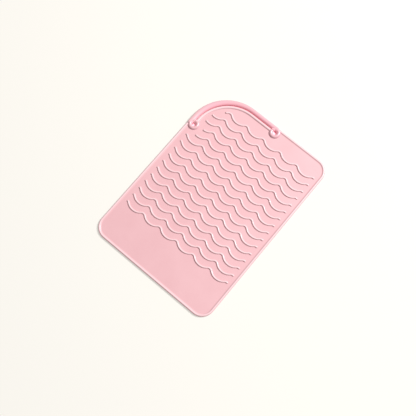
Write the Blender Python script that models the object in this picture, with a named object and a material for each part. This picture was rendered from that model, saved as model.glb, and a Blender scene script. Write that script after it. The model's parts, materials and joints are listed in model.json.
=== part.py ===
"""Moulded silicone heat mat: a hot hair iron rests on its ribs, or is wrapped in it.

The mat lies flat on the XY plane with its underside at z = 0.  +Y is its long axis and points to
the end with the strap, and the origin is under the middle of the sheet.  The sheet bends along the
smooth lanes between its ribs, so it is built as a head panel and a chain of strips, each hinged
on the one before it.  A strap along one rounded corner lifts about the line through its two rings.
"""
import math

import bmesh
import bpy
from mathutils import Vector

# Overall size, in metres
MAT_WIDTH = 0.165
MAT_LENGTH = 0.229
CORNER_RADIUS = 0.016
STRAP_CORNER_RADIUS = 0.052

# The sheet and its raised rim
SHEET_TOP = 0.0022
RIM_TOP = 0.0032
RIM_WIDTH = 0.0036
EDGE_CHAMFER = 0.0006

# The ribs: rows of scallops, narrow crests towards +Y
RIB_COUNT = 16
RIB_PITCH = 0.01045
FIRST_CREST_Y = 0.0929
SCALLOP_PERIOD = 0.0246
SCALLOP_DEPTH = 0.0047
CREST_RADIUS = 0.0045
RIB_WIDTH = 0.0022
RIB_TOP = 0.0036
RIB_HALF_LENGTH = 0.0740
RIB_STARTS_AT_STRAP = (-0.0550, -0.0652, -0.0664, -0.0618, -0.0645)

# The strap, its slit, the raised lip inside the slit, and the blind hole and ring at each end;
# the strap widens from its right end to its left end
STRAP_WIDTH = 0.0054
STRAP_WIDENING = 0.0014
STRAP_TOP = 0.0048
SLIT_WIDTH = 0.0009
LIP_WIDTH = 0.0034
LIP_TOP = 0.0036
HOLE_RADIUS = 0.0022
HOLE_FLOOR = 0.0008
LEFT_HOLE_INSET = 0.0082
RIGHT_HOLE_INSET = 0.0070
RING_RADIUS = 0.0070
RING_TOP = 0.0046
LEFT_HOLE_Y = 0.0549
RIGHT_HOLE_X = 0.0055

# How the sheet bends
FOLDS = 12
PLAIN_STRIPS = 4

# Fit and smoothness
GAP = 0.0003
CORNER_SEGMENTS = 8
STRAP_CORNER_SEGMENTS = 24
TROUGH_SEGMENTS = 8
CREST_SEGMENTS = 3
ROUND_SEGMENTS = 32

# Places that follow from the driving dimensions
HALF_WIDTH = MAT_WIDTH / 2
HALF_LENGTH = MAT_LENGTH / 2
SLIT_INSET = STRAP_WIDTH + SLIT_WIDTH
ARC_CENTRE = Vector((-HALF_WIDTH + STRAP_CORNER_RADIUS, HALF_LENGTH - STRAP_CORNER_RADIUS))
LEFT_HOLE = Vector((-HALF_WIDTH + LEFT_HOLE_INSET, LEFT_HOLE_Y))
RIGHT_HOLE = Vector((RIGHT_HOLE_X, HALF_LENGTH - RIGHT_HOLE_INSET))
HINGE_LINE = (RIGHT_HOLE - LEFT_HOLE).normalized()
RIBBED_STRIPS = FOLDS - PLAIN_STRIPS
HEAD_RIBS = RIB_COUNT - RIBBED_STRIPS

PINK = (0.875, 0.555, 0.580)
PALE_PINK = (0.940, 0.640, 0.665)
DEEP_PINK = (0.840, 0.470, 0.510)


def clear_scene():
    for item in list(bpy.data.objects):
        bpy.data.objects.remove(item, do_unlink=True)


def silicone(name, colour):
    """A matt rubbery finish."""
    finish = bpy.data.materials.new(name + "_silicone")
    finish.use_nodes = True
    shader = finish.node_tree.nodes["Principled BSDF"]
    shader.inputs["Base Color"].default_value = (*colour, 1.0)
    shader.inputs["Roughness"].default_value = 0.55
    shader.inputs["Metallic"].default_value = 0.0
    return finish


def add_object(name, shape, colour, origin, parent=None):
    """Turn a bmesh in world coordinates into an object whose own origin is at `origin`."""
    origin = Vector(origin)
    bmesh.ops.recalc_face_normals(shape, faces=shape.faces)
    bmesh.ops.translate(shape, verts=shape.verts, vec=-origin)
    mesh = bpy.data.meshes.new(name)
    shape.to_mesh(mesh)
    shape.free()
    item = bpy.data.objects.new(name, mesh)
    bpy.context.scene.collection.objects.link(item)
    if colour is not None:
        mesh.materials.append(silicone(name, colour))
    item.location = origin
    if parent is not None:
        item.parent = parent
        item.location = origin - parent.matrix_world.translation
    bpy.context.view_layer.update()
    return item


def arc_points(centre, radius, start_deg, end_deg, segments):
    """Points along an arc, both ends included."""
    points = []
    for step in range(segments + 1):
        angle = math.radians(start_deg + (end_deg - start_deg) * step / segments)
        points.append(Vector((centre[0] + radius * math.cos(angle),
                              centre[1] + radius * math.sin(angle))))
    return points


def mat_outline(inset):
    """The outline of the mat, anticlockwise from the corner at +X -Y, moved inwards by `inset`."""
    near_x = HALF_WIDTH - CORNER_RADIUS
    near_y = HALF_LENGTH - CORNER_RADIUS
    small = CORNER_RADIUS - inset
    large = STRAP_CORNER_RADIUS - inset
    return (arc_points((near_x, -near_y), small, -90, 0, CORNER_SEGMENTS)
            + arc_points((near_x, near_y), small, 0, 90, CORNER_SEGMENTS)
            + arc_points(ARC_CENTRE, large, 90, 180, STRAP_CORNER_SEGMENTS)
            + arc_points((-near_x, -near_y), small, 180, 270, CORNER_SEGMENTS))


def skin_loops(loops):
    """Join equal rings of points into one closed solid, with the first and last ring capped."""
    shape = bmesh.new()
    rings = [[shape.verts.new(point) for point in loop] for loop in loops]
    shape.faces.new(rings[0])
    shape.faces.new(rings[-1])
    for below, above in zip(rings, rings[1:]):
        for index in range(len(below)):
            after = (index + 1) % len(below)
            shape.faces.new((below[index], below[after], above[after], above[index]))
    return shape


def whole_sheet():
    """The sheet in one piece: a shallow tray with a chamfered rim all round."""
    rim_inner = RIM_WIDTH - EDGE_CHAMFER
    levels = ((EDGE_CHAMFER, 0.0), (0.0, EDGE_CHAMFER), (0.0, RIM_TOP - EDGE_CHAMFER),
              (EDGE_CHAMFER, RIM_TOP), (rim_inner, RIM_TOP), (RIM_WIDTH, SHEET_TOP))
    return skin_loops([[(p.x, p.y, z) for p in mat_outline(inset)] for inset, z in levels])


def keep_between(shape, low_y, high_y):
    """Cut the shape at two planes across Y and close both cuts."""
    for y, outward in ((low_y, -1), (high_y, 1)):
        everything = shape.verts[:] + shape.edges[:] + shape.faces[:]
        bmesh.ops.bisect_plane(shape, geom=everything, plane_co=(0, y, 0),
                               plane_no=(0, outward, 0), clear_outer=True)
        cut_edges = [edge for edge in shape.edges if edge.is_boundary]
        bmesh.ops.holes_fill(shape, edges=cut_edges, sides=0)
    return shape


def fold_lines():
    """Y of every fold, from the one at the head panel to the one nearest the plain end."""
    first = FIRST_CREST_Y - RIB_PITCH * (HEAD_RIBS - 1) - (RIB_PITCH + SCALLOP_DEPTH) / 2
    ribbed = [first - RIB_PITCH * index for index in range(RIBBED_STRIPS + 1)]
    plain_pitch = (ribbed[-1] + HALF_LENGTH) / PLAIN_STRIPS
    return ribbed + [ribbed[-1] - plain_pitch * index for index in range(1, PLAIN_STRIPS)]


def rib_centre_line(crest_y):
    """One row of scallops from the left end to the right end, as a list of 2-D points.

    Each trough is an arc that bulges towards -Y, and each crest is a small arc that is tangent
    to the troughs on both sides of it.
    """
    half = SCALLOP_PERIOD / 2
    both_radii = (half ** 2 + SCALLOP_DEPTH ** 2) / (2 * SCALLOP_DEPTH)
    trough_radius = both_radii - CREST_RADIUS
    flank_deg = math.degrees(math.asin(half / both_radii))
    trough_y = crest_y - SCALLOP_DEPTH + trough_radius
    crest_centre_y = crest_y - CREST_RADIUS
    scallops = round(2 * RIB_HALF_LENGTH / SCALLOP_PERIOD)
    points = []
    for index in range(scallops + 1):
        crest_x = (index - scallops / 2) * SCALLOP_PERIOD
        points += arc_points((crest_x, crest_centre_y), CREST_RADIUS,
                             90 + flank_deg, 90 - flank_deg, CREST_SEGMENTS)
        points += arc_points((crest_x + half, trough_y), trough_radius,
                             -90 - flank_deg, -90 + flank_deg, TROUGH_SEGMENTS)[1:-1]
    return points


def trim_line(points, start_x, end_x):
    """Keep the part of a line between two x values, with new points exactly at both ends."""
    kept = []
    for here, after in zip(points, points[1:]):
        for x in (start_x, end_x):
            if here.x < x <= after.x:
                kept.append(here.lerp(after, (x - here.x) / (after.x - here.x)))
        if start_x < after.x < end_x:
            kept.append(after)
    return kept


def line_normals(points):
    """The left-hand normal at each point of a line."""
    normals = []
    for index in range(len(points)):
        before = points[max(index - 1, 0)]
        after = points[min(index + 1, len(points) - 1)]
        along = (after - before).normalized()
        normals.append(Vector((-along.y, along.x)))
    return normals


def sweep(stations, profile):
    """Carry a profile of (offset, z) points along stations of (point, normal), ends capped."""
    return skin_loops([[(*(point + normal * offset), z) for offset, z in profile]
                       for point, normal in stations])


def rib_profile():
    """A ridge with leaning flanks and a rounded top, standing just clear of the sheet."""
    half = RIB_WIDTH / 2
    foot = SHEET_TOP + GAP
    shoulder = foot + (RIB_TOP - foot) * 0.65
    return ((-half, foot), (half, foot), (half * 0.75, shoulder), (0.0, RIB_TOP),
            (-half * 0.75, shoulder))


def rib_extent(index):
    """The x range of a rib: the rows beside the strap corner start further in."""
    if index < len(RIB_STARTS_AT_STRAP):
        return RIB_STARTS_AT_STRAP[index], RIB_HALF_LENGTH
    return -RIB_HALF_LENGTH, RIB_HALF_LENGTH


def rib_shape(index):
    line = rib_centre_line(FIRST_CREST_Y - RIB_PITCH * index)
    line = trim_line(line, *rib_extent(index))
    return sweep(list(zip(line, line_normals(line))), rib_profile())


def corner_stations(start_y, end_x):
    """Stations round the strap corner along the outline of the mat, with inward normals."""
    stations = [(Vector((-HALF_WIDTH, start_y)), Vector((1, 0)))]
    for point in reversed(arc_points(ARC_CENTRE, STRAP_CORNER_RADIUS, 90, 180,
                                     STRAP_CORNER_SEGMENTS)):
        stations.append((point, (ARC_CENTRE - point).normalized()))
    stations.append((Vector((end_x, HALF_LENGTH)), Vector((0, -1))))
    return stations


def corner_sweep(start_y, end_x, profile):
    """Carry a profile of (inset, z) points along the strap corner.

    The outer side follows the edge of the mat.  The strap's inner side, and all that lies inside
    it, moves further in towards the left end.
    """
    loops = []
    for point, normal in corner_stations(start_y, end_x):
        widening = STRAP_WIDENING * normal.x
        loops.append([(*(point + normal * (inset + widening * min(max(inset / STRAP_WIDTH, 0), 1))),
                       z) for inset, z in profile])
    return skin_loops(loops)


def strap_ends():
    """Where the strap is cut square at each end: just outside the line through the holes."""
    left_inner = LEFT_HOLE_INSET - STRAP_WIDTH - STRAP_WIDENING
    right_inner = RIGHT_HOLE_INSET - STRAP_WIDTH
    slope = HINGE_LINE.y / HINGE_LINE.x
    return LEFT_HOLE.y - left_inner * slope + GAP, RIGHT_HOLE.x + right_inner / slope - GAP


def strap_profile():
    """A thick bead, flat underneath and rounded on top."""
    foot = EDGE_CHAMFER
    side = STRAP_TOP * 0.65
    return ((foot, 0.0), (0.0, foot), (0.0, side), (STRAP_WIDTH * 0.2, STRAP_TOP),
            (STRAP_WIDTH * 0.8, STRAP_TOP), (STRAP_WIDTH, side), (STRAP_WIDTH, foot),
            (STRAP_WIDTH - foot, 0.0))


def upright(outline, low_z, high_z):
    """A flat outline raised to an upright solid."""
    return skin_loops([[(p.x, p.y, z) for p in outline] for z in (low_z, high_z)])


def round_outline(centre, radius):
    return arc_points(centre, radius, 0, 360, ROUND_SEGMENTS)[:-1]


def seat_outline(hole, radius, inward_deg):
    """Half a circle on the inner side of a hole, and straight out past the edge of the mat."""
    half_circle = arc_points(hole, radius, inward_deg - 90, inward_deg + 90, ROUND_SEGMENTS // 2)
    angle = math.radians(inward_deg + 180)
    outwards = Vector((math.cos(angle), math.sin(angle))) * LEFT_HOLE_INSET * 2
    return half_circle + [half_circle[-1] + outwards, half_circle[0] + outwards]


def hide_cutter(cutter):
    cutter.hide_render = True
    cutter.display_type = "WIRE"
    return cutter


def cut(item, cutters):
    for cutter in cutters:
        modifier = item.modifiers.new("cut_" + cutter.name, "BOOLEAN")
        modifier.operation = "DIFFERENCE"
        modifier.object = cutter


def make_cutters():
    """Shapes removed from the head panel: the strap's space, two blind holes, two ring seats."""
    above = STRAP_TOP * 2
    start_y, end_x = strap_ends()
    outside = -CORNER_RADIUS
    space = ((outside, -above), (outside, above), (SLIT_INSET, above), (SLIT_INSET, -above))
    strap_space = add_object("strap_space_cutter",
                             corner_sweep(start_y - GAP, end_x + GAP, space),
                             None, (0, 0, 0))
    cutters = {"strap": hide_cutter(strap_space)}
    for side, hole, inward_deg in (("left", LEFT_HOLE, 0), ("right", RIGHT_HOLE, -90)):
        bore = add_object(side + "_hole_cutter",
                          upright(round_outline(hole, HOLE_RADIUS), HOLE_FLOOR, above),
                          None, (0, 0, 0))
        seat = add_object(side + "_seat_cutter",
                          upright(seat_outline(hole, RING_RADIUS + GAP, inward_deg),
                                  SHEET_TOP - GAP, above), None, (0, 0, 0))
        cutters[side + "_hole"] = hide_cutter(bore)
        cutters[side + "_seat"] = hide_cutter(seat)
    return cutters


def make_head_panel(cutters):
    shape = keep_between(whole_sheet(), fold_lines()[0] + GAP / 2, HALF_LENGTH + GAP)
    panel = add_object("head_panel", shape, PINK, (0, 0, 0))
    cut(panel, cutters.values())
    return panel


def make_strips():
    """The chain of strips, each with its origin on the fold that joins it to the one before."""
    folds = fold_lines()
    ends = folds[1:] + [-HALF_LENGTH - GAP]
    strips = []
    parent = None
    for number, (fold, end) in enumerate(zip(folds, ends), start=1):
        shape = keep_between(whole_sheet(), end + GAP / 2, fold - GAP / 2)
        parent = add_object(f"fold_strip_{number:02d}", shape, PINK, (0, fold, RIM_TOP), parent)
        strips.append(parent)
    return strips


def make_ribs(head, strips):
    for index in range(RIB_COUNT):
        owner = head if index < HEAD_RIBS else strips[index - HEAD_RIBS]
        add_object(f"rib_{index + 1:02d}", rib_shape(index), PALE_PINK,
                   owner.matrix_world.translation, owner)


def make_rings(head, cutters):
    """A raised ring round each hole, open where the slit and the strap pass."""
    for side, hole in (("left", LEFT_HOLE), ("right", RIGHT_HOLE)):
        ring = add_object(f"ring_{side}",
                          upright(round_outline(hole, RING_RADIUS), SHEET_TOP, RING_TOP),
                          DEEP_PINK, (0, 0, 0), head)
        cut(ring, (cutters["strap"], cutters[side + "_hole"]))


def make_lip(head):
    """The low raised lip along the inner side of the slit, from ring to ring."""
    clear = RING_RADIUS + GAP
    start_y = LEFT_HOLE.y + clear
    end_x = RIGHT_HOLE.x - clear
    inner = SLIT_INSET + LIP_WIDTH
    foot = SHEET_TOP + GAP
    profile = ((SLIT_INSET, foot), (SLIT_INSET, LIP_TOP - EDGE_CHAMFER),
               (SLIT_INSET + EDGE_CHAMFER, LIP_TOP), (inner - EDGE_CHAMFER, LIP_TOP),
               (inner, LIP_TOP - EDGE_CHAMFER), (inner, foot))
    add_object("slit_lip", corner_sweep(start_y, end_x, profile), PALE_PINK,
               (0, 0, 0), head)


def make_strap():
    """The strap, with its origin on the line it lifts about."""
    middle = (LEFT_HOLE + RIGHT_HOLE) / 2
    add_object("strap", corner_sweep(*strap_ends(), strap_profile()), DEEP_PINK,
               (middle.x, middle.y, STRAP_TOP))


def main():
    clear_scene()
    cutters = make_cutters()
    head = make_head_panel(cutters)
    strips = make_strips()
    make_ribs(head, strips)
    make_rings(head, cutters)
    make_lip(head)
    make_strap()


main()
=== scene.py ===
# %% [markdown]
# # A silicone heat mat for hair irons
# A stylist lays a hot flat iron or curling iron on this mat, or rolls the mat round it. It is one
# piece of soft silicone, pressed in a mould: a thin sheet with a rounded rim, sixteen wavy ribs
# that keep the hot tool off the sheet, and a strap along one big round corner to hang it by. The
# frame comes first. It is the solid model that the physics uses, cut into the parts that move, and
# every length below is taken from it. The looks are then built round it, feature by feature.

# %% Load the frame
import json
import math

import bmesh
import bpy
from mathutils import Matrix, Vector


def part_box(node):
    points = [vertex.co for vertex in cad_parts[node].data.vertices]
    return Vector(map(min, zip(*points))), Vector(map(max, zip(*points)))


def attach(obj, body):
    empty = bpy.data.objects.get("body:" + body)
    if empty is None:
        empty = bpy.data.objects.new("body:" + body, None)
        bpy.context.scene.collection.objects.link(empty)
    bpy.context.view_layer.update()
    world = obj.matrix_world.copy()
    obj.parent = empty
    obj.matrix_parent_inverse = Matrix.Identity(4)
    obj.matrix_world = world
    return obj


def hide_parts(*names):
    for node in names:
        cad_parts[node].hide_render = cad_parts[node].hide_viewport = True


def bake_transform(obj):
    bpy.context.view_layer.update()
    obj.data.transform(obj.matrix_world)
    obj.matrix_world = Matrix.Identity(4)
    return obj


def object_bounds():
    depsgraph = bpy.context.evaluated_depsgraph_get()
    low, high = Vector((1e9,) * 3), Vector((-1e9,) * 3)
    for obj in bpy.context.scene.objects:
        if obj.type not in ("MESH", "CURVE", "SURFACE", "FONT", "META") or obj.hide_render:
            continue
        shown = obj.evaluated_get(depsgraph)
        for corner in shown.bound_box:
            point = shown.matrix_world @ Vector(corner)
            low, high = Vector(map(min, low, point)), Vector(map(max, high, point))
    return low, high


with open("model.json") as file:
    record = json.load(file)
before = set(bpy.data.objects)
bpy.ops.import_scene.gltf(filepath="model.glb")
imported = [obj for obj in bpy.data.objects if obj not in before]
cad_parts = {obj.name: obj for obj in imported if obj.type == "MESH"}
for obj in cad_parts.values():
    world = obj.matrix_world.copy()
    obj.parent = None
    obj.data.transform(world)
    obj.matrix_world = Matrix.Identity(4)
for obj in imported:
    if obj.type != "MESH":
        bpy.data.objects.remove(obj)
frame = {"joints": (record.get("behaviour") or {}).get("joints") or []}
cad_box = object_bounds()

# %% [markdown]
# ## Take the sizes from the frame
# The outline, the heights and the places of the ribs, holes and folds are read from the boxes of
# the solids and from the joints, so the skin fits them without any trying. What a box can't say,
# such as the radius of a corner, is written out as a value in metres. The solid of a rib stands a
# small gap clear of the sheet, so the sheet's top lies that much below it.

# %% Sizes
MM = 0.001
RIB_GAP = 0.3 * MM
half_width, half_length = cad_box[1].x, cad_box[1].y
rim_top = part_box("head_panel")[1].z
sheet_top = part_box("rib_16")[0].z - RIB_GAP
rib_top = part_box("rib_01")[1].z
strap_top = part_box("strap")[1].z
corner_radius = 16 * MM
strap_corner_radius = 52 * MM
arc_centre = Vector((-half_width + strap_corner_radius, half_length - strap_corner_radius, 0))
folds = [joint["pos_m"][1] for joint in frame["joints"] if joint["name"].startswith("fold")]
print(f"mat {2000 * half_width:.0f} x {2000 * half_length:.0f} mm, {len(folds)} folds")
print(f"sheet {1000 * sheet_top:.1f} mm, rim {1000 * rim_top:.1f} mm, ribs {1000 * rib_top:.1f} mm")

# %% [markdown]
# ## Small tools
# Blender's edit operators act on whatever is selected. These helpers deselect everything, open one
# piece in edit mode, and pick faces or edges by where their middle is, the way a hand would click.

# %% Selecting
def only(piece):
    bpy.ops.object.select_all(action="DESELECT")
    piece.select_set(True)
    bpy.context.view_layer.objects.active = piece


def open_piece(piece, everything=False):
    only(piece)
    bpy.ops.object.mode_set(mode="EDIT")
    bpy.ops.mesh.select_mode(type="FACE")
    bpy.ops.mesh.select_all(action="SELECT" if everything else "DESELECT")


def close_piece():
    bpy.ops.object.mode_set(mode="OBJECT")


def pick_faces(piece, test):
    shape = bmesh.from_edit_mesh(piece.data)
    for face in shape.faces:
        face.select_set(test(face.calc_center_median(), face.normal))
    bmesh.update_edit_mesh(piece.data)


def pick_edges(piece, test):
    bpy.ops.mesh.select_mode(type="EDGE")
    shape = bmesh.from_edit_mesh(piece.data)
    for edge in shape.edges:
        edge.select_set(test(edge.verts[0].co, edge.verts[1].co))
    bmesh.update_edit_mesh(piece.data)


def extrude(move, steps=1):
    for _ in range(steps):
        bpy.ops.mesh.extrude_region_move(
            TRANSFORM_OT_translate={"value": Vector(move) / steps})


def spin(centre, degrees, steps):
    """Turn the selected face about an upright line, anticlockwise seen from above."""
    bpy.ops.mesh.spin(steps=steps, angle=-math.radians(degrees), center=centre, axis=(0, 0, 1))


def tidy_skin(piece):
    """Weld doubles and turn every face outwards."""
    open_piece(piece, everything=True)
    bpy.ops.mesh.remove_doubles(threshold=0.00001)
    bpy.ops.mesh.normals_make_consistent(inside=False)
    close_piece()


def copy_of(piece, name):
    twin = piece.copy()
    twin.data = piece.data.copy()
    twin.name = name
    bpy.context.scene.collection.objects.link(twin)
    return twin


def cut_away(piece, cutter):
    only(piece)
    knife = piece.modifiers.new("cut", "BOOLEAN")
    knife.operation = "DIFFERENCE"
    knife.solver = "EXACT"
    knife.object = cutter
    bpy.ops.object.modifier_apply(modifier=knife.name)


def section(name, outline, place):
    """A filled circle with its points moved onto a section; `place` puts (across, up) in space."""
    bpy.ops.object.select_all(action="DESELECT")
    bpy.ops.mesh.primitive_circle_add(vertices=len(outline), radius=MM, fill_type="NGON")
    piece = bpy.context.object
    piece.name = name
    for vertex, (across, up) in zip(piece.data.vertices, outline):
        vertex.co = place(across, up)
    return piece


print("helpers ready")

# %% [markdown]
# ## The sheet with its rim
# The whole mat starts as a box of its real size. Its four upright edges are bevelled into round
# corners, three small and one large for the strap. The rim is then drawn by insetting the top face
# again and again, each time with a little height, so one closed loop follows the whole edge: up
# the outer side, over the rounded top and down to the sheet. An inset keeps its distance round a
# corner, which a scaled copy of the outline would not.

# %% The box and its corners
side_low = 0.5 * MM
side_high = 1.3 * MM
STRAP_CORNER_STEPS = 48
bpy.ops.object.select_all(action="DESELECT")
bpy.ops.mesh.primitive_cube_add(size=1, location=(0, 0, (side_low + side_high) / 2),
                                scale=(2 * half_width, 2 * half_length, side_high - side_low))
sheet = bpy.context.object
sheet.name = "sheet"
bpy.ops.object.transform_apply(location=True, rotation=True, scale=True)
open_piece(sheet)


def upright_corner(a, b, strap_corner):
    stands = abs(a.x - b.x) < MM and abs(a.y - b.y) < MM
    return stands and (a.x < 0 and a.y > 0) == strap_corner


for strap_corner, radius, steps in ((True, strap_corner_radius, STRAP_CORNER_STEPS),
                                    (False, corner_radius, 16)):
    pick_edges(sheet, lambda a, b: upright_corner(a, b, strap_corner))
    bpy.ops.mesh.bevel(offset=radius, offset_type="OFFSET", segments=steps, affect="EDGES")
print("outline points:", len(bmesh.from_edit_mesh(sheet.data).verts) // 2)

# %% The rounded rim
RIM_WIDTH = 3.6 * MM
RIM_CREST = 1.7 * MM
RIM_STOPS = (0, 0.06, 0.2, 0.42, 0.75, 1.2, 1.7, 2.1, 2.4, 2.65, 2.9, 3.2, 3.6, 4.2)
UNDER_STOPS = ((0, side_low), (0.15 * MM, 0.15 * MM), (0.5 * MM, 0))


def rim_height(inset):
    """Height of the skin at this distance from the edge: a quarter ellipse, then a soft fall."""
    if inset < RIM_CREST:
        return side_high + (rim_top - side_high) * math.sqrt(1 - (1 - inset / RIM_CREST) ** 2)
    part = min((inset - RIM_CREST) / (RIM_WIDTH - RIM_CREST), 1)
    return sheet_top + (rim_top - sheet_top) * (1 + math.cos(math.pi * part)) / 2


def inset_to(piece, normal_z, stops):
    """Inset the top or the bottom face through (distance from the edge, height) stops."""
    open_piece(piece)
    pick_faces(piece, lambda middle, normal: normal.z * normal_z > 0.9)
    at, height = stops[0]
    for inset, new_height in stops[1:]:
        bpy.ops.mesh.inset(thickness=inset - at, depth=(new_height - height) * normal_z,
                           use_even_offset=True)
        at, height = inset, new_height
    close_piece()


close_piece()
inset_to(sheet, 1, [(stop * MM, rim_height(stop * MM)) for stop in RIM_STOPS])
inset_to(sheet, -1, UNDER_STOPS)
rim_now = max(vertex.co.z for vertex in sheet.data.vertices)
print("rim loops:", len(RIM_STOPS), "height", round(1000 * rim_now, 2))

# %% [markdown]
# ## Cut the sheet where the folds are
# Silicone bends anywhere, but the frame bends it in twelve lanes between the ribs. Rows of edges
# are bisected across each lane, close enough that the bend looks round. The sheet is then cut half
# way between folds, on flat ground, so that each length crosses one fold only. The last four folds
# cross the plain panel, where no rib is in the way, so their lanes are wider.

# %% Bend rows
LANE = 1.7 * MM
WIDE_LANE = 3.6 * MM
ROWS_EACH_WAY = 4
lanes = [LANE] * 8 + [WIDE_LANE] * 4
open_piece(sheet, everything=True)
for fold, lane in zip(folds, lanes):
    for row in range(-ROWS_EACH_WAY, ROWS_EACH_WAY + 1):
        bpy.ops.mesh.select_all(action="SELECT")
        bpy.ops.mesh.bisect(plane_co=(0, fold + lane * row / ROWS_EACH_WAY, 0),
                            plane_no=(0, 1, 0))
close_piece()
print("sheet faces with bend rows:", len(sheet.data.polygons))

# %% Twelve lengths of sheet
seams = [(a + b) / 2 for a, b in zip(folds, folds[1:])]
starts = [half_length + MM] + seams
ends = seams + [-half_length - MM]
lengths = []
for number, (start, end) in enumerate(zip(starts, ends), 1):
    length = copy_of(sheet, f"sheet_{number:02d}")
    open_piece(length, everything=True)
    if start < half_length:
        bpy.ops.mesh.bisect(plane_co=(0, start, 0), plane_no=(0, 1, 0), clear_outer=True,
                            use_fill=True)
        bpy.ops.mesh.select_all(action="SELECT")
    if end > -half_length:
        bpy.ops.mesh.bisect(plane_co=(0, end, 0), plane_no=(0, -1, 0), clear_outer=True,
                            use_fill=True)
    close_piece()
    lengths.append(length)
bpy.data.objects.remove(sheet)
print("sheet lengths:", len(lengths))

# %% [markdown]
# ## The slit and its two holes
# The strap is part of the rim, set free by a slit that runs round the big corner and ends in a
# blind hole at each end, which stops the silicone from tearing. The cutters follow the corner: a
# section is extruded up the straight side, spun through the quarter circle and extruded along the
# top. The strap widens towards its left end, so the slit's quarter circle is the same arc moved to
# the right. A thin floor is left in each hole, so that no table shows through where the slit ends.

# %% Where the holes are
def middle_of(node):
    a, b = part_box(node)
    return (a + b) / 2


holes = {"left": middle_of("ring_left"), "right": middle_of("ring_right")}
HOLE_RADIUS = 2.2 * MM
HOLE_FLOOR = 0.8 * MM
SLIT_OUTER = 5.4 * MM
SLIT_INNER = 6.3 * MM
WIDENING = 1.4 * MM


def round_the_corner(name, outline, start_y, end_x, shift=WIDENING, step=1.0 * MM):
    """Sweep a section of (distance from the edge, height) points along the strap corner.

    `shift` moves the left side and the arc to the right, to follow the slit.
    """
    piece = section(name, outline, lambda inset, up: (-half_width + shift + inset, start_y, up))
    centre = arc_centre + Vector((shift, 0, 0))
    rise = centre.y - start_y
    run = end_x - centre.x
    open_piece(piece, everything=True)
    extrude((0, rise, 0), max(1, round(rise / step)))
    spin(centre, -90, STRAP_CORNER_STEPS)
    extrude((run, 0, 0), max(1, round(run / step)))
    close_piece()
    tidy_skin(piece)
    return piece


def band(name, inner, outer):
    """A tall band between two distances from the edge, from hole to hole."""
    corners = ((outer, -MM), (inner, -MM), (inner, 8 * MM), (outer, 8 * MM))
    return round_the_corner(name, corners, holes["left"].y, holes["right"].x)


PEG_LENGTH = 20 * MM


def peg(name, hole, radius, low_end=HOLE_FLOOR):
    """A round peg that stands on the hole's floor, or on another height."""
    bpy.ops.object.select_all(action="DESELECT")
    bpy.ops.mesh.primitive_cylinder_add(vertices=48, radius=radius, depth=PEG_LENGTH,
                                        location=(hole.x, hole.y, PEG_LENGTH / 2 + low_end))
    piece = bpy.context.object
    piece.name = name
    bpy.ops.object.transform_apply(location=True, rotation=True, scale=True)
    return piece


UNDER_LIP = 0.3 * MM
OUTSIDE = -2 * MM
strap_band = band("strap_band", SLIT_INNER + UNDER_LIP, OUTSIDE)
slit_band = band("slit_band", SLIT_INNER, SLIT_OUTER)
plug_low = HOLE_FLOOR - 0.05 * MM - PEG_LENGTH
pegs = [peg(side + "_peg", hole, HOLE_RADIUS) for side, hole in holes.items()]
wide_pegs = [peg("wide_peg", hole, HOLE_RADIUS + 0.1 * MM) for hole in holes.values()]
floor_plugs = [peg("floor_plug", hole, HOLE_RADIUS + 0.4 * MM, plug_low)
               for hole in holes.values()]
for plug in floor_plugs:
    cut_away(strap_band, plug)
for cutter in (strap_band, *wide_pegs):
    cut_away(lengths[0], cutter)
print("head length faces:", len(lengths[0].data.polygons))

# %% [markdown]
# ## The strap
# A thick bead with a round back, flat underneath. It is swept round the corner with a row every
# millimetre, because it is bent when it lifts. Its inner side is then moved over to the slit,
# which makes it wider towards the left. The left end is drawn down into the rim beside the hole,
# where the real strap grows out of the rim with no seam. The right end stops flat under its ring.

# %% Sweep the strap
def crown(width, top, base, points=12, shoulder=2.4, lean=1.5):
    """A flat floor, short upright sides and a rounded back whose crest leans to the outer side."""
    back = []
    for step in range(points + 1):
        angle = math.pi * step / points
        reach = math.cos(angle)
        part = (1 + math.copysign(abs(reach) ** (2 / shoulder), reach)) / 2
        back.append((width * part ** lean, base + (top - base) * math.sin(angle) ** (2 / shoulder)))
    chamfer = 0.12 * width
    return [(0, chamfer), (chamfer, 0), (width - chamfer, 0), (width, chamfer)] + back


left, right = holes["left"], holes["right"]
SHOULDER_HEIGHT = 1.7 * MM
ROOT = 3.0 * MM
PAST_HOLE = 0.2 * MM
strap_start = left.y - PAST_HOLE
strap = round_the_corner("hanging_strap", crown(SLIT_OUTER, strap_top, SHOULDER_HEIGHT),
                         strap_start, right.x + PAST_HOLE, shift=0)


def distance_from_edge(spot):
    """How far inside the outline of the mat a point beside the strap corner is."""
    across = Vector((min(spot.x - arc_centre.x, 0), max(spot.y - arc_centre.y, 0)))
    return strap_corner_radius - across.length


for vertex in strap.data.vertices:
    vertex.co.x += WIDENING * distance_from_edge(vertex.co) / SLIT_OUTER


def draw_down(piece, at, normal, move, centre, size, steps):
    """Extrude the end face that looks along `normal`, shrinking it towards `centre` as it goes."""
    open_piece(piece)
    normal = Vector(normal)
    pick_faces(piece, lambda middle, facing: facing.dot(normal) > 0.9
               and abs((middle - Vector(at)).dot(normal)) < 0.3 * MM)
    centre = Vector(centre)
    was = 1.0
    for step in range(1, steps + 1):
        part = step / steps
        now = 1 - (1 - size) * (1 - math.sqrt(1 - part ** 2))
        extrude(Vector(move) / steps)
        centre = centre + Vector(move) / steps
        bpy.ops.transform.resize(value=(now / was,) * 3, center_override=centre)
        was = now
    close_piece()


root_centre = (-half_width + 2.1 * MM, strap_start, 0.6 * MM)
draw_down(strap, (0, strap_start, 0), (0, -1, 0), (0, -ROOT, 0), root_centre, size=0.55, steps=5)
for cutter in pegs:
    cut_away(strap, cutter)
print("strap faces:", len(strap.data.polygons))

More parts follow.
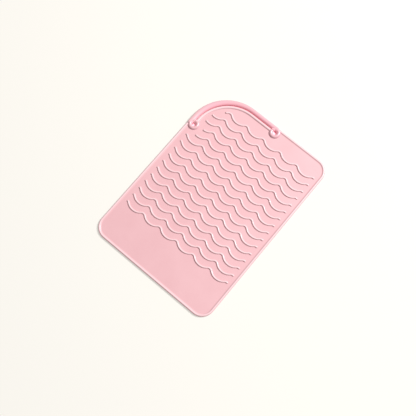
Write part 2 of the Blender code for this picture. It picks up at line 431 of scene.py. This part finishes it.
# %% [markdown]
# ## The lip and the two rings
# Inside the slit a low lip stiffens the edge of the sheet. At each end it runs into a raised ring
# round the hole, and the slit opens into the ring on the strap's side. A ring is a section spun
# through a full turn. Both sections are listed in millimetres, across and up. Across counts from
# the edge of the mat for the lip, and from the middle of the hole for a ring. The sections flare
# out at the foot, so they meet the sheet in a soft fillet, as where silicone filled the mould's
# corner.

# %% Lip
LIP_END = 3.4 * MM
LIP_SECTION = ((9.3, 0.6), (6.3, 0.1), (6.3, 2.6), (6.36, 3.1), (6.6, 3.42), (7.05, 3.58),
               (7.65, 3.6), (8.25, 3.52), (8.75, 3.3), (9.05, 2.95), (9.25, 2.56), (9.5, 2.32),
               (9.9, 2.2), (9.9, 1.6))
lip = round_the_corner("slit_bead", [(across * MM, up * MM) for across, up in LIP_SECTION],
                       left.y + LIP_END, right.x - LIP_END)
print("lip faces:", len(lip.data.polygons))

# %% Rings
RING_SECTION = ((2.2, 0.9), (2.24, 2.2), (2.4, 2.9), (2.75, 3.6), (3.25, 4.16), (3.85, 4.5),
                (4.55, 4.6), (5.2, 4.5), (5.8, 4.22), (6.26, 3.78), (6.58, 3.22), (6.8, 2.7),
                (7.0, 2.36), (7.2, 2.2), (7.2, 1.5))
ring_beads = {}
for side, hole in holes.items():
    bead = section(side + "_ring_bead", [(across * MM, up * MM) for across, up in RING_SECTION],
                   lambda across, up: (hole.x + across, hole.y, up))
    open_piece(bead, everything=True)
    spin((hole.x, hole.y, 0), 360, 64)
    close_piece()
    tidy_skin(bead)
    cut_away(bead, slit_band)
    ring_beads[side] = bead
for cutter in (strap_band, slit_band, *pegs, *wide_pegs, *floor_plugs):
    bpy.data.objects.remove(cutter)
print("rings:", sorted(ring_beads))

# %% [markdown]
# ## The wavy ribs
# Every rib is the same row of scallops: wide troughs joined by narrow crests, all of them arcs. So
# one section is spun about the centre of each arc in turn, left and right by turns, and the end of
# one arc is the start of the next. The section has leaning flanks, a round back and a flared foot;
# one half of it is listed in millimetres. The finished rib is copied to its sixteen places.

# %% One rib
SCALLOP_PERIOD = 24.6 * MM
SCALLOP_DEPTH = 4.7 * MM
CREST_RADIUS = 4.5 * MM
SCALLOPS = 6
half_period = SCALLOP_PERIOD / 2
both_radii = (half_period ** 2 + SCALLOP_DEPTH ** 2) / (2 * SCALLOP_DEPTH)
trough_radius = both_radii - CREST_RADIUS
flank = math.degrees(math.asin(half_period / both_radii))
left_end = -SCALLOPS / 2 * SCALLOP_PERIOD
RIB_SIDE = ((1.5, 1.7), (1.5, 2.16), (1.24, 2.26), (1.06, 2.5), (0.96, 2.82), (0.84, 3.16),
            (0.62, 3.44), (0.32, 3.58))
rib_section = [*RIB_SIDE, (0, 3.62), *((-across, up) for across, up in reversed(RIB_SIDE))]
pattern = section("rib_pattern", [(across * MM, up * MM) for across, up in rib_section],
                  lambda across, up: (left_end, across, up))
open_piece(pattern, everything=True)
for number in range(SCALLOPS):
    crest_x = left_end + number * SCALLOP_PERIOD
    spin((crest_x, -CREST_RADIUS, 0), -flank, 4)
    spin((crest_x + half_period, trough_radius - SCALLOP_DEPTH, 0), 2 * flank, 14)
    spin((crest_x + SCALLOP_PERIOD, -CREST_RADIUS, 0), -flank, 4)
close_piece()
tidy_skin(pattern)
print(f"trough radius {1000 * trough_radius:.1f} mm, rib faces {len(pattern.data.polygons)}")

# %% Sixteen ribs with rounded ends
ribs = []
NOSE = 1.8 * MM
HALF_RIB = 1.1 * MM
UNDER_SHEET = 0.4 * MM
for number in range(1, 17):
    rib_low, rib_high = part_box(f"rib_{number:02d}")
    crest_y = rib_high.y - HALF_RIB
    rib = copy_of(pattern, f"wavy_rib_{number:02d}")
    rib.data.transform(Matrix.Translation((0, crest_y, 0)))
    rib_start = max(rib_low.x + NOSE, left_end)
    open_piece(rib, everything=True)
    bpy.ops.mesh.bisect(plane_co=(rib_start, 0, 0), plane_no=(-1, 0, 0), clear_outer=True,
                        use_fill=True)
    close_piece()
    for end_x, way in ((rib_start, -1), (-left_end, 1)):
        near = [v.co.y for v in rib.data.vertices if abs(v.co.x - end_x) < 0.05 * MM]
        middle_y = (min(near) + max(near)) / 2
        draw_down(rib, (end_x, 0, 0), (way, 0, 0), (way * NOSE, 0, 0),
                  (end_x, middle_y, sheet_top - UNDER_SHEET), size=0.15, steps=6)
    ribs.append(rib)
bpy.data.objects.remove(pattern)
print("ribs:", len(ribs), "faces each:", len(ribs[-1].data.polygons))

# %% [markdown]
# ## Shade the skin
# A moulding is smooth wherever its surface is rounded and only sharp where it was cut. Shading by
# angle does that. Each piece also keeps where its points lie while the mat is flat, as an
# attribute named `rest`, so a pattern stays on the silicone when the sheet rolls up. A second
# attribute, `cleft`, is 1 inside the slit and the holes and fades to 0 away from them.

# %% Smooth shading and the two attributes
# The cleft attribute places a painted glow; on the strap it fades over a wider band, a painted deep
# red down its inner side.
SLIT_MIDDLE = (SLIT_OUTER + SLIT_INNER) / 2
SLIT_HALF = (SLIT_INNER - SLIT_OUTER) / 2
STRAP_FADE = 4.2 * MM
OTHER_FADE = 0.8 * MM


def cleft_at(spot, fade):
    """1 in the slit or in a hole, and 0 where the distance to both is more than `fade`."""
    away = min(math.hypot(spot.x - hole.x, spot.y - hole.y) for hole in holes.values())
    away -= HOLE_RADIUS
    if spot.y > left.y and spot.x < right.x:
        moved = Vector((spot.x - WIDENING, spot.y, 0))
        away = min(away, abs(distance_from_edge(moved) - SLIT_MIDDLE) - SLIT_HALF)
    return max(0.0, min(1.0, 1 - away / fade))


pieces = [*lengths, *ribs, strap, lip, *ring_beads.values()]
for piece in pieces:
    only(piece)
    bpy.ops.object.shade_smooth_by_angle(angle=math.radians(40))
    rest = piece.data.attributes.new("rest", "FLOAT_VECTOR", "POINT")
    for spot, vertex in zip(rest.data, piece.data.vertices):
        spot.vector = vertex.co
    cleft = piece.data.attributes.new("cleft", "FLOAT", "POINT")
    fade = STRAP_FADE if piece == strap else OTHER_FADE
    for share, vertex in zip(cleft.data, piece.data.vertices):
        on_top = piece in lengths and vertex.co.z > sheet_top - 0.1 * MM
        share.value = 0.0 if on_top else cleft_at(vertex.co, fade)
print("pieces:", len(pieces), "faces:", sum(len(piece.data.polygons) for piece in pieces))

# %% [markdown]
# ## Silicone
# Silicone is a soft satin rubber. Light goes a little way in, so its colour is cloudy and milky
# rather than flat. A painted highlight makes the backs of the ribs, the lip, the rim, the strap and
# the rings paler, and painted light makes the low outer sides paler. In a cleft a painted glow, a
# deeper, redder pink, stands in for the light that passes from wall to wall. The mould was
# blasted, which leaves a very fine even grain. One node group makes that skin, and each finish
# places it with its own colours.

# %% The skin group
skin = bpy.data.node_groups.new("silicone_skin", "ShaderNodeTree")
for name, kind in (("Place", "NodeSocketVector"), ("Colour", "NodeSocketColor"),
                   ("Milky colour", "NodeSocketColor"), ("Highlight colour", "NodeSocketColor"),
                   ("Cleft glow colour", "NodeSocketColor"), ("Cleft", "NodeSocketFloat"),
                   ("Low", "NodeSocketFloat"), ("High", "NodeSocketFloat"),
                   ("Satin", "NodeSocketFloat")):
    skin.interface.new_socket(name, in_out="INPUT", socket_type=kind)
for name, kind in (("Colour", "NodeSocketColor"), ("Roughness", "NodeSocketFloat"),
                   ("Height", "NodeSocketFloat")):
    skin.interface.new_socket(name, in_out="OUTPUT", socket_type=kind)
add = skin.nodes.new
link = skin.links.new
given = add("NodeGroupInput")
result = add("NodeGroupOutput")


def cloud(size, detail):
    noise = add("ShaderNodeTexNoise")
    noise.inputs["Scale"].default_value = 1 / size
    noise.inputs["Detail"].default_value = detail
    noise.inputs["Roughness"].default_value = 0.5
    link(given.outputs["Place"], noise.inputs["Vector"])
    return noise.outputs["Fac"]


def ranged(value, a, b, new_a, new_b):
    """Map a value from one range to another, held at both ends."""
    node = add("ShaderNodeMapRange")
    link(value, node.inputs["Value"])
    for socket, bound in zip(("From Min", "From Max", "To Min", "To Max"), (a, b, new_a, new_b)):
        if isinstance(bound, bpy.types.NodeSocket):
            link(bound, node.inputs[socket])
        else:
            node.inputs[socket].default_value = bound
    return node.outputs["Result"]


def mixed(amount, a, b):
    node = add("ShaderNodeMix")
    node.data_type = "RGBA"
    link(amount, node.inputs["Factor"])
    link(a, node.inputs["A"])
    link(b, node.inputs["B"])
    return node.outputs["Result"]


CLOUD_SIZE, SATIN_SIZE, GRAIN_SIZE = 35 * MM, 6 * MM, 0.4 * MM
SIDE_LIGHT_FULL, SIDE_LIGHT_GONE = 0.9 * MM, 1.9 * MM
milk = ranged(cloud(CLOUD_SIZE, 3), 0.35, 0.68, 0, 1)
place = add("ShaderNodeSeparateXYZ")
link(given.outputs["Place"], place.inputs["Vector"])
# Painted highlight: the colour turns paler between the heights Low and High.
crown_highlight_mask = ranged(place.outputs["Z"], given.outputs["Low"], given.outputs["High"], 0, 1)
# Painted light on the low outer sides: paler below about 1 mm, gone by about 2 mm.
side_light_mask = ranged(place.outputs["Z"], SIDE_LIGHT_FULL, SIDE_LIGHT_GONE, 1, 0)
either = add("ShaderNodeMath")
either.operation = "MAXIMUM"
link(crown_highlight_mask, either.inputs[0])
link(side_light_mask, either.inputs[1])
painted_light = either.outputs["Value"]
body_colour = mixed(milk, given.outputs["Colour"], given.outputs["Milky colour"])
open_colour = mixed(painted_light, body_colour, given.outputs["Highlight colour"])
# Painted glow: the cleft mask mixes in a deeper, redder pink in the slit and the holes.
link(mixed(given.outputs["Cleft"], open_colour, given.outputs["Cleft glow colour"]),
     result.inputs["Colour"])
satin = add("ShaderNodeMath")
satin.operation = "ADD"
link(given.outputs["Satin"], satin.inputs[0])
link(ranged(cloud(SATIN_SIZE, 4), 0.3, 0.7, -0.04, 0.06), satin.inputs[1])
link(satin.outputs["Value"], result.inputs["Roughness"])
link(cloud(GRAIN_SIZE, 2), result.inputs["Height"])
print("skin group sockets:", len(skin.interface.items_tree))

# %% [markdown]
# ## Four finishes
# The sheet, the ribs, the strap and the rings are the same silicone, but the eye sees them
# differently: the thin sheet is a pale cool pink, the ribs and the lip have a painted highlight on
# their backs, the thick strap looks deeper, and the rings are the glossiest. The strap and the
# rings are painted paler towards the top, a painted highlight. A plain number, such as the sheen,
# is set on the shader itself.

# %% Finishes
SATIN = 0.46
COAT_ROUGHNESS = 0.22
COAT_IOR = 1.5


def silicone(name, colour, milky, highlight_colour, cleft_glow, low_z, high_z, gloss):
    """One finish, painted paler between the heights `low_z` and `high_z`, a painted highlight."""
    finish = bpy.data.materials.new(name)
    finish.use_nodes = True
    tree = finish.node_tree
    shader = tree.nodes["Principled BSDF"]
    shader.inputs["IOR"].default_value = 1.41
    shader.inputs["Sheen Weight"].default_value = 0.12
    shader.inputs["Sheen Roughness"].default_value = 0.5
    shader.inputs["Coat Weight"].default_value = gloss
    shader.inputs["Coat Roughness"].default_value = COAT_ROUGHNESS
    shader.inputs["Coat IOR"].default_value = COAT_IOR
    where = tree.nodes.new("ShaderNodeAttribute")
    where.attribute_name = "rest"
    cleft_mask = tree.nodes.new("ShaderNodeAttribute")
    cleft_mask.attribute_name = "cleft"
    looks = tree.nodes.new("ShaderNodeGroup")
    looks.node_tree = skin
    looks.inputs["Colour"].default_value = (*colour, 1)
    looks.inputs["Milky colour"].default_value = (*milky, 1)
    looks.inputs["Highlight colour"].default_value = (*highlight_colour, 1)
    looks.inputs["Cleft glow colour"].default_value = (*cleft_glow, 1)
    looks.inputs["Low"].default_value = low_z
    looks.inputs["High"].default_value = high_z
    looks.inputs["Satin"].default_value = SATIN
    bump = tree.nodes.new("ShaderNodeBump")
    bump.inputs["Strength"].default_value = 0.12
    bump.inputs["Distance"].default_value = 0.0001
    tree.links.new(where.outputs["Vector"], looks.inputs["Place"])
    tree.links.new(cleft_mask.outputs["Fac"], looks.inputs["Cleft"])
    tree.links.new(looks.outputs["Colour"], shader.inputs["Base Color"])
    tree.links.new(looks.outputs["Roughness"], shader.inputs["Roughness"])
    tree.links.new(looks.outputs["Height"], bump.inputs["Height"])
    tree.links.new(bump.outputs["Normal"], shader.inputs["Normal"])
    return finish


SHEET_PINK = (0.60, 0.345, 0.365)
SHEET_MILKY = (0.62, 0.365, 0.385)
# The painted highlight colour.
HIGHLIGHT_PINK = (0.70, 0.48, 0.50)
STRAP_PINK = (0.60, 0.305, 0.395)
# Painted glow colours for the slit and for the holes.
CLEFT_GLOW_PINK = (0.82, 0.36, 0.42)
HOLE_GLOW_PINK = (0.98, 0.55, 0.62)
sheet_finish = silicone("sheet_silicone", SHEET_PINK, SHEET_MILKY, HIGHLIGHT_PINK, HOLE_GLOW_PINK,
                        sheet_top + 0.3 * MM, rim_top, 0.3)
rib_finish = silicone("rib_silicone", SHEET_PINK, SHEET_MILKY, HIGHLIGHT_PINK, CLEFT_GLOW_PINK,
                      sheet_top, rib_top, 0.8)
# The strap and the rings are painted paler at the top, a painted highlight.
bead_finish = silicone("bead_silicone", STRAP_PINK, SHEET_PINK, SHEET_MILKY, CLEFT_GLOW_PINK,
                       3 * MM, 6 * MM, 0.7)
ring_finish = silicone("ring_silicone", STRAP_PINK, SHEET_PINK, SHEET_MILKY, HOLE_GLOW_PINK,
                       3 * MM, 6 * MM, 0.8)
for piece in lengths:
    piece.data.materials.append(sheet_finish)
for piece in (*ribs, lip):
    piece.data.materials.append(rib_finish)
for piece in ring_beads.values():
    piece.data.materials.append(ring_finish)
strap.data.materials.append(bead_finish)
print("finishes:", [finish.name for finish in (sheet_finish, rib_finish, bead_finish, ring_finish)])

# %% [markdown]
# ## Put the skin on the moving frame
# Each rib rides on its own strip, and the lip and the two rings ride on the head. The lengths of
# sheet and the strap have their placing applied to their points, and their parts in the frame are
# hidden.

# %% Bodies
def body_of_strip(number):
    return f"strip_{number:02d}" if number else "head"


for number, (length, fold, lane) in enumerate(zip(lengths, folds, lanes), 1):
    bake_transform(length)
    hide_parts(f"fold_strip_{number - 1:02d}" if number > 1 else "head_panel")
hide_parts("fold_strip_12")
for number, rib in enumerate(ribs, 1):
    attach(rib, body_of_strip(max(0, number - 8)))
    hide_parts(f"rib_{number:02d}")
for side, bead in ring_beads.items():
    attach(bead, "head")
    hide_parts(f"ring_{side}")
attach(lip, "head")
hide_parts("slit_lip")
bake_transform(strap)
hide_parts("strap")

# %% [markdown]
# ## Floor, light and camera
# The mat lies on a plain cream floor under a wide soft light from beyond its far right corner,
# with a bright room all round it. The floor gives off some light of its own, so it stays nearly
# white up to the mat. The camera looks steeply down, from the side of the plain panel.

# %% Floor
bpy.ops.object.select_all(action="DESELECT")
bpy.ops.mesh.primitive_plane_add(size=6, location=(0, 0, -0.0001))
floor = bpy.context.object
floor.name = "floor"
cream = bpy.data.materials.new("cream_floor")
cream.use_nodes = True
cream_shader = cream.node_tree.nodes["Principled BSDF"]
cream_shader.inputs["Base Color"].default_value = (0.34, 0.332, 0.312, 1)
cream_shader.inputs["Roughness"].default_value = 0.9
cream_shader.inputs["Specular IOR Level"].default_value = 0.0
cream_shader.inputs["Emission Color"].default_value = (1.0, 0.965, 0.90, 1)
cream_shader.inputs["Emission Strength"].default_value = 0.50
floor.data.materials.append(cream)
print("floor at", floor.location.z)

# %% Light
room = bpy.data.worlds.new("room")
bpy.context.scene.world = room
room.use_nodes = True
room.node_tree.nodes["Background"].inputs["Color"].default_value = (1.0, 0.985, 0.965, 1)
room.node_tree.nodes["Background"].inputs["Strength"].default_value = 0.40
window_place = Vector((0.70, 1.25, 1.79))
pane = bpy.data.lights.new("window", "AREA")
pane.size = 0.62
pane.energy = 80
window = bpy.data.objects.new("window", pane)
bpy.context.scene.collection.objects.link(window)
window.location = window_place
window.rotation_euler = (-window_place).to_track_quat("-Z", "Y").to_euler()
bpy.context.scene.view_settings.view_transform = "Standard"

# %% Camera
AZIMUTH = math.radians(40.1)
ELEVATION = math.radians(77.0)
ROLL = math.radians(-0.3)
DISTANCE = 0.778
FIELD_OF_VIEW = math.radians(34.05)
target = Vector((0.0028, -0.01165, 0))
back = Vector((math.sin(AZIMUTH) * math.cos(ELEVATION), -math.cos(AZIMUTH) * math.cos(ELEVATION),
               math.sin(ELEVATION)))
right_way = Vector((math.cos(AZIMUTH), math.sin(AZIMUTH), 0))
up_way = back.cross(right_way)
lens = bpy.data.cameras.new("camera")
lens.angle = FIELD_OF_VIEW
camera = bpy.data.objects.new("camera", lens)
bpy.context.scene.collection.objects.link(camera)
axes = Matrix((right_way, up_way, back)).transposed().to_4x4()
camera.matrix_world = (Matrix.Translation(target + DISTANCE * back) @ axes
                       @ Matrix.Rotation(ROLL, 4, "Z"))
bpy.context.scene.camera = camera
print("camera at", [round(value, 3) for value in camera.matrix_world.translation])
